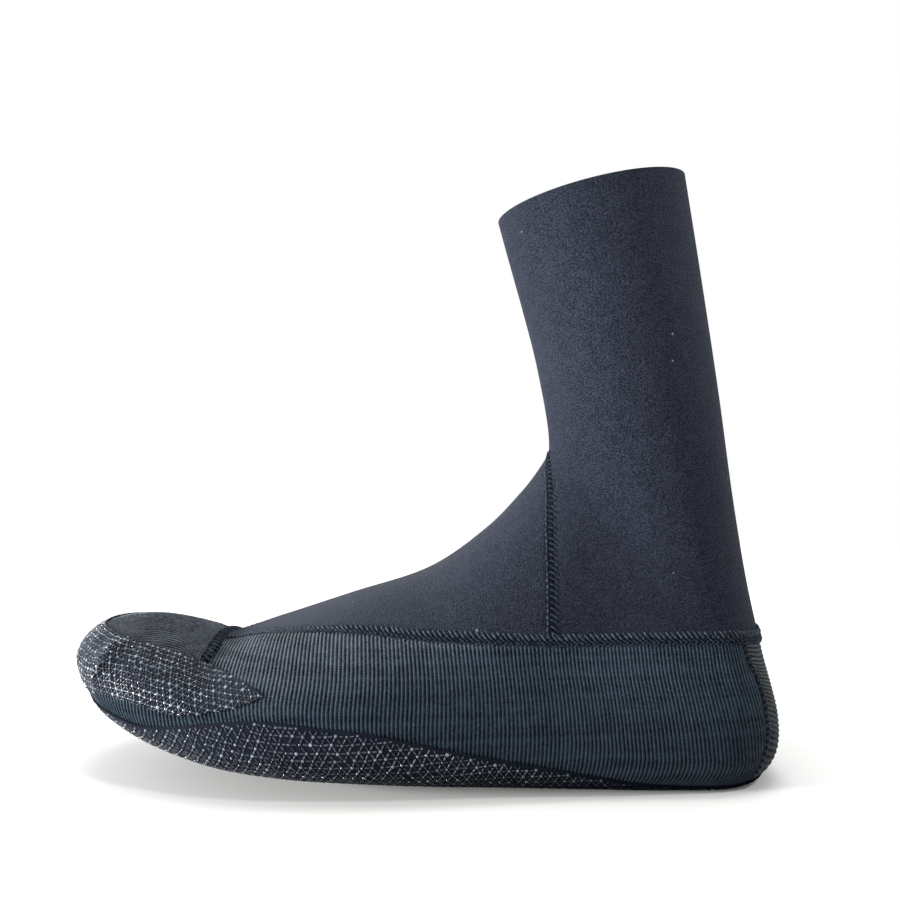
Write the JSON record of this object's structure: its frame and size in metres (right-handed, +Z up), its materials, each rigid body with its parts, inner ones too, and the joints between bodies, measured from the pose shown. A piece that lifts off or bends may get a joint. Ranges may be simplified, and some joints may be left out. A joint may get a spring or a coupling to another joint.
{
  "type": "neoprene surf boot",
  "caption": "Close-fitting neoprene water sports boot with a tall pull-on shaft, wrapping rand, heel tab, reinforced toe and a printed rubber grip sole.",
  "frame": {"origin": "middle of the boot's box, on the floor that the sole stands on", "axes": "+X from the toe to the heel, +Y from the wearer's outer side to the inner side, +Z up the shaft"},
  "size_m": [0.2669, 0.0962, 0.2257],
  "materials": {
    "shaft_jersey": "knitted jersey laminated to neoprene foam",
    "instep_jersey": "knitted jersey laminated to neoprene foam",
    "toe_ribs": "ribbed fabric laminated to neoprene foam",
    "rand_ribs": "ribbed fabric laminated to neoprene foam",
    "heel_ribs": "ribbed fabric laminated to neoprene foam",
    "sole_ribs": "ribbed fabric laminated to neoprene foam",
    "sole_rubber": "printed rubber grip, satin",
    "toe_rubber": "printed rubber grip, satin",
    "seam_thread": "black polyester thread, flat stitched",
    "looper_thread": "black polyester thread, inside loops",
    "joint_tape": "glued stretch tape"
  },
  "bodies": {
    "root": {"ankle_seam_cover": "seam_thread", "ankle_seam_loops": "looper_thread", "collar_seam_cover": "seam_thread", "collar_seam_loops": "looper_thread", "heel_tab": "heel_ribs", "inner_heel_seam_cover": "seam_thread", "inner_heel_seam_loops": "looper_thread", "instep_panel": "instep_jersey", "outer_heel_seam_cover": "seam_thread", "outer_heel_seam_loops": "looper_thread", "rand": "rand_ribs", "shaft_panel": "shaft_jersey", "sole_grip_print": "sole_rubber", "sole_panel": "sole_ribs", "sole_tape": "joint_tape", "toe_cap": "toe_ribs", "toe_cap_tape": "joint_tape", "toe_grip_print": "toe_rubber", "toe_seam_cover": "seam_thread", "toe_seam_loops": "looper_thread"}
  },
  "joints": []
}
